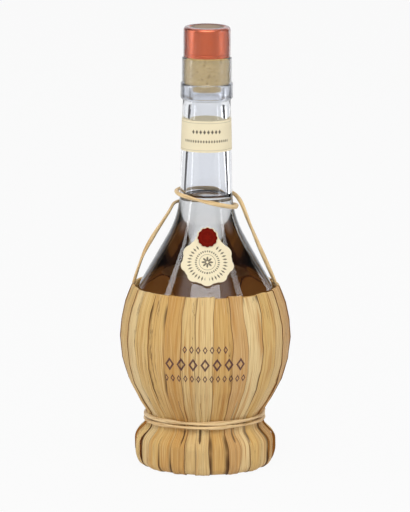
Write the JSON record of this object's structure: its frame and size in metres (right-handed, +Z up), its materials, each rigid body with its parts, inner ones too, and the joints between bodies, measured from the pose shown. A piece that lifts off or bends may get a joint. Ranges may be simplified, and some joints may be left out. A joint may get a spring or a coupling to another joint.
{
  "type": "straw covered flask",
  "caption": "Round glass flask in a basket of folded straw strips, with a capped cork stopper, paper labels and a straw carry cord.",
  "frame": {"origin": "middle of the foot, on the surface that the flask stands on", "axes": "+Z up along the flask, -Y is the front with the paper label, +X to the right of it"},
  "size_m": [0.1156, 0.1153, 0.3],
  "materials": {
    "clear_glass": "clear blown glass, polished",
    "clear_spirit": "clear liquid",
    "natural_cork": "natural cork, matt",
    "moulded_head": "moulded plastic, matt",
    "copper_anodised": "drawn and anodised copper red, satin",
    "clear_film": "clear shrink film, glossy",
    "cream_paper": "uncoated cream paper, matt",
    "red_seal": "moulded sealing wax, satin",
    "cane_hoop": "split cane, matt",
    "coiled_straw": "coiled straw, matt",
    "straw_cord": "twisted straw fibre, matt",
    "straw_husk": "dried sedge leaf, satin"
  },
  "bodies": {
    "flask": {"glass_flask": "clear_glass", "spirit_fill": "clear_spirit", "sleeve_collar": "clear_film", "neck_band": "cream_paper", "shield_label": "cream_paper", "wax_seal": "red_seal", "rim_hoop": "cane_hoop", "base_ring": "coiled_straw", "waist_tie": "straw_cord", "waist_tie_knot": "straw_cord", "carry_cord": "straw_cord", "husk_strip_01": "straw_husk", "husk_strip_02": "straw_husk", "husk_strip_03": "straw_husk", "husk_strip_04": "straw_husk", "husk_strip_05": "straw_husk", "husk_strip_06": "straw_husk", "husk_strip_07": "straw_husk", "husk_strip_08": "straw_husk", "husk_strip_09": "straw_husk", "husk_strip_10": "straw_husk", "husk_strip_11": "straw_husk", "husk_strip_12": "straw_husk", "husk_strip_13": "straw_husk", "husk_strip_14": "straw_husk", "husk_strip_15": "straw_husk", "husk_strip_16": "straw_husk", "husk_strip_17": "straw_husk", "husk_strip_18": "straw_husk", "husk_strip_19": "straw_husk", "husk_strip_20": "straw_husk", "husk_strip_21": "straw_husk", "husk_strip_22": "straw_husk", "husk_strip_23": "straw_husk", "husk_strip_24": "straw_husk", "husk_strip_25": "straw_husk", "husk_strip_26": "straw_husk", "husk_strip_27": "straw_husk", "husk_strip_28": "straw_husk", "husk_strip_29": "straw_husk", "husk_strip_30": "straw_husk"},
    "stopper": {"stopper_shank": "natural_cork", "stopper_core": "moulded_head", "cap_shell": "copper_anodised", "sleeve_crown": "clear_film"}
  },
  "joints": [
    {"name": "stopper_lift", "type": "slide", "parent": "flask", "child": "stopper", "axis": [0, 0, 1], "range_m": [0, 0.0285]}
  ]
}
